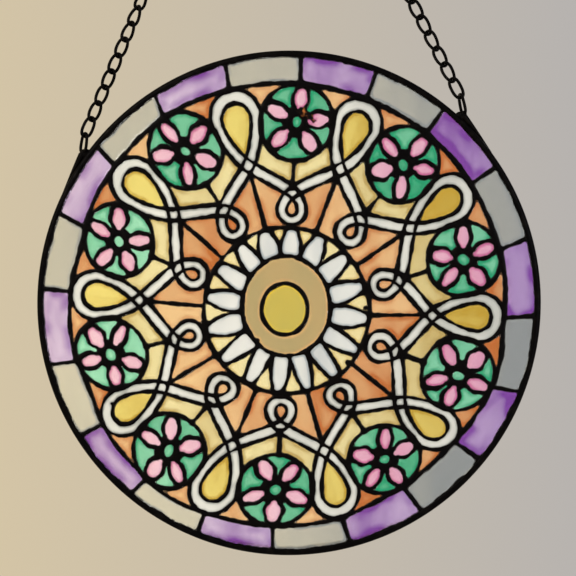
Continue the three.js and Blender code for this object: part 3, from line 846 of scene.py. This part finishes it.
def make_chain(side):
    """A curb chain: each link is twisted a quarter turn from end to end, so that its ends cross its
    neighbours'. The last one is hardly twisted, and stands in the solder steeper than the rest."""
    degrees, beyond, _, last_turn = SOLDER[side]
    foot = out_from_disc(degrees, RIM_RADIUS + beyond)
    steep = RING_CENTRE - foot
    steep = steep / np.linalg.norm(steep) + np.array([0, 0, 1.5])
    steep /= np.linalg.norm(steep)
    joint = foot + LINK_PITCH * steep
    axis = joint - RING_CENTRE
    reach = np.linalg.norm(axis)
    axis = axis / reach
    first = RING_RADIUS - RING_WIRE / 2 - LINK_GAP
    count = round((reach - first) / LINK_PITCH)
    pitch = (reach - first) / count
    parts = [link(joint + LINK_WIRE / 2 * steep, foot, math.radians(last_turn), math.radians(5))]
    for i in range(count):
        from_solder = count - i
        # degrees out of the disc's plane: less beside the solder, and the other way further up
        turn = 10 - 75 * (1 - smooth_step(from_solder, 0, 1.35)) - 50 * smooth_step(from_solder, 4, 12)
        twist = 45 * smooth_step(from_solder, -0.5, 2)
        top = first + pitch * i - LINK_WIRE / 2
        bottom = first + pitch * (i + 1) + LINK_WIRE / 2
        parts.append(link(
            RING_CENTRE + top * axis, RING_CENTRE + bottom * axis,
            math.radians(turn + 5 * math.sin(2.3 * i)), math.radians(twist),
        ))
    piece = new_object(f"curb_chain_{side}", *joined_skins(parts), "black_wire")
    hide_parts(f"chain_{side}")
    return piece


# ---- finishes ------------------------------------------------------------------------------------


class Finish:
    """A Principled material, with short calls for the nodes that vary it."""

    def __init__(self, name, **plain):
        self.material = bpy.data.materials.new(name)
        self.material.use_nodes = True
        self.tree = self.material.node_tree
        self.shader = self.tree.nodes["Principled BSDF"]
        self.place = self.node("ShaderNodeTexCoord").outputs["Object"]
        for key, value in plain.items():
            self.shader.inputs[key.replace("_", " ")].default_value = value

    def node(self, kind, inputs=None, **settings):
        made = self.tree.nodes.new(kind)
        for key, value in settings.items():
            setattr(made, key, value)
        for key, value in (inputs or {}).items():
            self.feed(made.inputs[key], value)
        return made

    def feed(self, socket, value):
        if isinstance(value, bpy.types.NodeSocket):
            self.tree.links.new(value, socket)
        else:
            socket.default_value = value

    def noise(self, scale, detail=3.0, stretch=None):
        """Noise with `scale` features to the metre."""
        place = self.place
        if stretch:
            place = self.node(
                "ShaderNodeMapping", {"Vector": place, "Scale": stretch},
            ).outputs["Vector"]
        inputs = {"Vector": place, "Scale": scale, "Detail": detail}
        return self.node("ShaderNodeTexNoise", inputs).outputs["Fac"]

    def attribute(self, name):
        return self.node("ShaderNodeAttribute", attribute_name=name).outputs["Fac"]

    def spread(self, value, low, high, to_low=0.0, to_high=1.0):
        inputs = {
            "Value": value, "From Min": low, "From Max": high, "To Min": to_low, "To Max": to_high,
        }
        made = self.node("ShaderNodeMapRange", inputs, interpolation_type="SMOOTHSTEP")
        return made.outputs["Result"]

    def sum(self, a, b, operation="ADD"):
        return self.node("ShaderNodeMath", {0: a, 1: b}, operation=operation).outputs[0]

    def mix(self, factor, a, b, blend="MIX"):
        made = self.node("ShaderNodeMix", data_type="RGBA", blend_type=blend)
        self.feed(made.inputs[0], factor)
        self.feed(made.inputs[6], a)
        self.feed(made.inputs[7], b)
        return made.outputs[2]

    def bump(self, height, strength, distance):
        inputs = {"Height": height, "Strength": strength, "Distance": distance}
        self.feed(self.shader.inputs["Normal"], self.node("ShaderNodeBump", inputs).outputs["Normal"])

    def colour(self, value):
        self.feed(self.shader.inputs["Base Color"], value)

    def roughness(self, value):
        self.feed(self.shader.inputs["Roughness"], value)


def srgb(red, green, blue):
    """A linear colour from the 0-255 values that a screen shows."""
    values = [channel / 255 for channel in (red, green, blue)]
    linear = [v / 12.92 if v <= 0.04045 else ((v + 0.055) / 1.055) ** 2.4 for v in values]
    return (*linear, 1.0)


def dark_finish(name, base, worn, roughness, metallic, grain):
    finish = Finish(name, Metallic=metallic, Specular_IOR_Level=0.05)
    cloud = finish.noise(260, 4)
    finish.colour(finish.mix(finish.spread(cloud, 0.45, 0.75), base, worn))
    finish.roughness(finish.spread(finish.noise(700, 3), 0.3, 0.7, roughness - 0.08, roughness + 0.12))
    finish.bump(finish.noise(grain, 3), 0.25, 0.0001)
    return finish


def relief_finish():
    """Black outliner paste, brown and crumbling where it is broken."""
    finish = dark_finish("black_relief", srgb(2, 1, 2), srgb(6, 4, 4), 0.4, 0.0, 1200)
    black = finish.shader.inputs["Base Color"].links[0].from_socket
    speck = finish.spread(finish.noise(430, 2), 0.52, 0.62)
    rust = finish.mix(speck, srgb(12, 8, 7), srgb(176, 104, 52))
    finish.colour(finish.mix(finish.attribute("broken"), black, rust))
    return finish


def clear_glass():
    finish = Finish("clear_glass", Roughness=0.02, IOR=1.5, Transmission_Weight=1.0)
    haze = finish.spread(finish.noise(30, 2), 0.3, 0.7)
    finish.colour(finish.mix(haze, (0.97, 0.985, 0.98, 1), (0.995, 0.998, 0.995, 1)))
    finish.bump(finish.noise(12, 1), 0.02, 0.001)
    return finish


# The last argument sets painted shade: how much deeper the colour grows towards the right of the disc.
def pane_finish(
    name, pooled, thin, pool_width, clear=0.9, pool=0.85, streak_and_painted_light=0.2, uneven=0.15, right=0.3,
):
    """Transparent colour between `thin` and `pooled`. It is denser here and there beside the
    outlines, where the paint pooled, and from pane to pane. Its soft up-and-down streaks are partly
    uneven paint and partly painted light and dark of the surround seen through the glass. Towards
    the right of the disc it is deeper: painted shade, for the weaker light from behind on that side."""
    finish = Finish(name, Roughness=0.12, IOR=1.45, Transmission_Weight=clear)
    near_edge = finish.spread(finish.attribute("edge"), 0.0, pool_width, 1.0, 0.0)
    pooling = finish.spread(finish.noise(65, 1), 0.38, 0.62, 0.1 * pool, pool)
    density_and_painted_light = finish.sum(near_edge, pooling, "MULTIPLY")
    # streaks stretched up and down: partly uneven paint, partly painted light and dark of the surround
    # seen through the glass
    cloud = finish.noise(42, 3, (1, 1, 0.35))
    density_and_painted_light = finish.sum(density_and_painted_light, finish.spread(cloud, 0.35, 0.75, 0.0, streak_and_painted_light))
    density_and_painted_light = finish.sum(density_and_painted_light, finish.spread(finish.attribute("shade"), 0, 1, 0.0, uneven))
    # painted shade: the colour deepens towards the right of the disc, standing for the weaker light
    # from behind on that side
    x = finish.node("ShaderNodeSeparateXYZ", {0: finish.place}).outputs["X"]
    density_and_painted_light = finish.sum(density_and_painted_light, finish.spread(x, -0.04, 0.115, 0.0, right))
    density_and_painted_light = finish.node("ShaderNodeClamp", {0: density_and_painted_light}).outputs[0]
    finish.colour(finish.mix(density_and_painted_light, thin, pooled))
    finish.bump(finish.noise(160, 2), 0.08, 0.0003)
    return finish


def pane_finishes():
    # each right= here is painted shade towards the right of the disc, and the streaks are partly
    # painted light
    return {
        PURPLE: pane_finish(
            "purple_pane", srgb(134, 70, 174), srgb(226, 208, 240), 5.0, pool=0.6, streak_and_painted_light=0.5,
            uneven=0.1, right=0.5,
        ),
        PALE: pane_finish(
            "pale_pane", srgb(156, 161, 164), srgb(220, 216, 198), 1.5, uneven=0.3, right=0.8,
        ),
        ORANGE: pane_finish(
            "orange_pane", srgb(204, 120, 58), srgb(252, 218, 164), 2.6, pool=0.45, streak_and_painted_light=0.5,
            uneven=0.4,
        ),
        CREAM: pane_finish(
            "cream_pane", srgb(204, 178, 108), srgb(252, 242, 188), 2.2, streak_and_painted_light=0.45, right=0.5,
        ),
        YELLOW: pane_finish(
            "yellow_pane", srgb(206, 172, 62), srgb(248, 232, 138), 2.0, streak_and_painted_light=0.35, right=0.65,
        ),
        GREEN: pane_finish(
            "green_pane", srgb(30, 168, 122), srgb(170, 238, 206), 2.0, pool=0.6, uneven=0.5, right=0.4,
        ),
        PINK: pane_finish("pink_pane", srgb(214, 122, 170), srgb(252, 214, 232), 1.6, right=0.4),
        WHITE: pane_finish(
            "white_band_pane", srgb(196, 200, 198), srgb(252, 254, 250), 0.9, 0.6, streak_and_painted_light=0.45,
        ),
        PETAL: pane_finish(
            "white_petal_pane", srgb(196, 206, 214), srgb(252, 254, 252), 1.2, 0.6, streak_and_painted_light=0.4,
        ),
        TRIANGLE: pane_finish("cream_triangle_pane", srgb(226, 200, 130), srgb(252, 242, 190), 1.4),
        TAN: pane_finish("tan_pane", srgb(230, 186, 126), srgb(190, 174, 126), 1.6, right=0),
        MIDDLE: pane_finish(
            "yellow_centre_pane", srgb(240, 208, 60), srgb(208, 194, 102), 1.4, right=0,
        ),
    }


def wear(piece, finish):
    piece.data.materials.clear()
    piece.data.materials.append(finish.material)


# ---- stage ---------------------------------------------------------------------------------------

VIEW_WIDTH = 0.2854  # metres that the picture shows at the disc
VIEW_DISTANCE = 1.3
VIEW_AZIMUTH = math.radians(4)
VIEW_ELEVATION = math.radians(-2)
VIEW_ROLL = math.radians(2.4)
DISC_OFF_MIDDLE = (-0.00025, -0.0070)  # where the picture shows the disc's centre
SENSOR = 36
FLOOR_RADIUS = 0.95
FLOOR_DROP = 0.1  # below the disc
WARM_SIDE = -0.22  # the sideways part of a direction: from here leftwards the surround is warm
COOL_SIDE = 0.06  # and from here rightwards cool


def add_camera():
    data = bpy.data.cameras.new("camera")
    data.sensor_width = SENSOR
    data.lens = SENSOR * VIEW_DISTANCE / VIEW_WIDTH
    camera = bpy.data.objects.new("camera", data)
    bpy.context.scene.collection.objects.link(camera)
    back = Vector((
        math.sin(VIEW_AZIMUTH) * math.cos(VIEW_ELEVATION),
        -math.cos(VIEW_AZIMUTH) * math.cos(VIEW_ELEVATION),
        math.sin(VIEW_ELEVATION),
    ))
    level = Vector((0, 0, 1)).cross(back).normalized()
    upright = back.cross(level)
    right = math.cos(VIEW_ROLL) * level - math.sin(VIEW_ROLL) * upright
    up = math.sin(VIEW_ROLL) * level + math.cos(VIEW_ROLL) * upright
    target = Vector(DISC_CENTRE * MM) - DISC_OFF_MIDDLE[0] * right - DISC_OFF_MIDDLE[1] * up
    place = Matrix((right, up, back)).transposed().to_4x4()
    place.translation = target + VIEW_DISTANCE * back
    camera.matrix_world = place
    bpy.context.scene.camera = camera


def add_light(name, place, size, power, colour):
    data = bpy.data.lights.new(name, "AREA")
    data.shape = "DISK"
    data.size = size
    data.energy = power
    data.color = colour
    light = bpy.data.objects.new(name, data)
    light.location = place
    aim = Vector(DISC_CENTRE * MM) - Vector(place)
    light.rotation_euler = aim.to_track_quat("-Z", "Y").to_euler()
    light.visible_camera = False
    bpy.context.scene.collection.objects.link(light)


def add_daylight():
    """A plain pale surround, a little warmer to the left than to the right."""
    world = bpy.data.worlds.new("daylight")
    bpy.context.scene.world = world
    world.use_nodes = True
    tree = world.node_tree
    background = tree.nodes["Background"]
    place = tree.nodes.new("ShaderNodeTexCoord")
    parts = tree.nodes.new("ShaderNodeSeparateXYZ")
    ramp = tree.nodes.new("ShaderNodeValToRGB")
    span = tree.nodes.new("ShaderNodeMapRange")
    span.inputs["From Min"].default_value = WARM_SIDE
    span.inputs["From Max"].default_value = COOL_SIDE
    ramp.color_ramp.elements[0].color = srgb(216, 199, 164)
    ramp.color_ramp.elements[1].color = srgb(180, 177, 176)
    tree.links.new(place.outputs["Generated"], parts.inputs[0])
    tree.links.new(parts.outputs["X"], span.inputs["Value"])
    tree.links.new(span.outputs["Result"], ramp.inputs[0])
    tree.links.new(ramp.outputs["Color"], background.inputs["Color"])
    background.inputs["Strength"].default_value = 1.0


def add_floor():
    """A round pale floor below the hanging disc."""
    sides = 96
    turns = [2 * math.pi * i / sides for i in range(sides)]
    height = cad_box[0].z - FLOOR_DROP
    edge = [(FLOOR_RADIUS * math.cos(turn), FLOOR_RADIUS * math.sin(turn), height) for turn in turns]
    mesh = bpy.data.meshes.new("floor")
    mesh.from_pydata(edge, [], [tuple(range(sides))])
    floor = bpy.data.objects.new("floor", mesh)
    bpy.context.scene.collection.objects.link(floor)
    finish = Finish("floor", Roughness=0.8)
    finish.colour(finish.mix(finish.noise(6, 3), srgb(214, 210, 202), srgb(222, 218, 210)))
    wear(floor, finish)


# ---- assembly ------------------------------------------------------------------------------------

add_camera()
add_daylight()
add_floor()
add_light("key", (-0.7, -1.0, 0.35), 0.7, 9, (1.0, 0.97, 0.92))
add_light("fill", (0.8, -0.9, -0.1), 0.8, 5, (0.94, 0.97, 1.0))
add_light("daylight_behind", (-0.1, 1.3, -0.25), 2.4, 6.5, (1.0, 1.0, 1.0))

relief_material = relief_finish()
wire_material = dark_finish("black_wire", srgb(4, 3, 3), srgb(14, 11, 10), 0.42, 0.3, 900)
rim_material = dark_finish("black_rim", srgb(3, 2, 3), srgb(13, 10, 9), 0.4, 0.3, 500)

wear(make_leading(), relief_material)
wear(make_centre_ring(), relief_material)
wear(make_rim(), rim_material)
wear(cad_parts["glass_disc"], clear_glass())
finishes = pane_finishes()
for pane_kind, piece in make_panes().items():
    wear(piece, finishes[pane_kind])
wear(make_hanging_ring(), wire_material)
for side in ("left", "right"):
    wear(make_hanging_loop(side), wire_material)
    wear(make_chain(side), wire_material)

bpy.context.scene.view_settings.view_transform = "Standard"
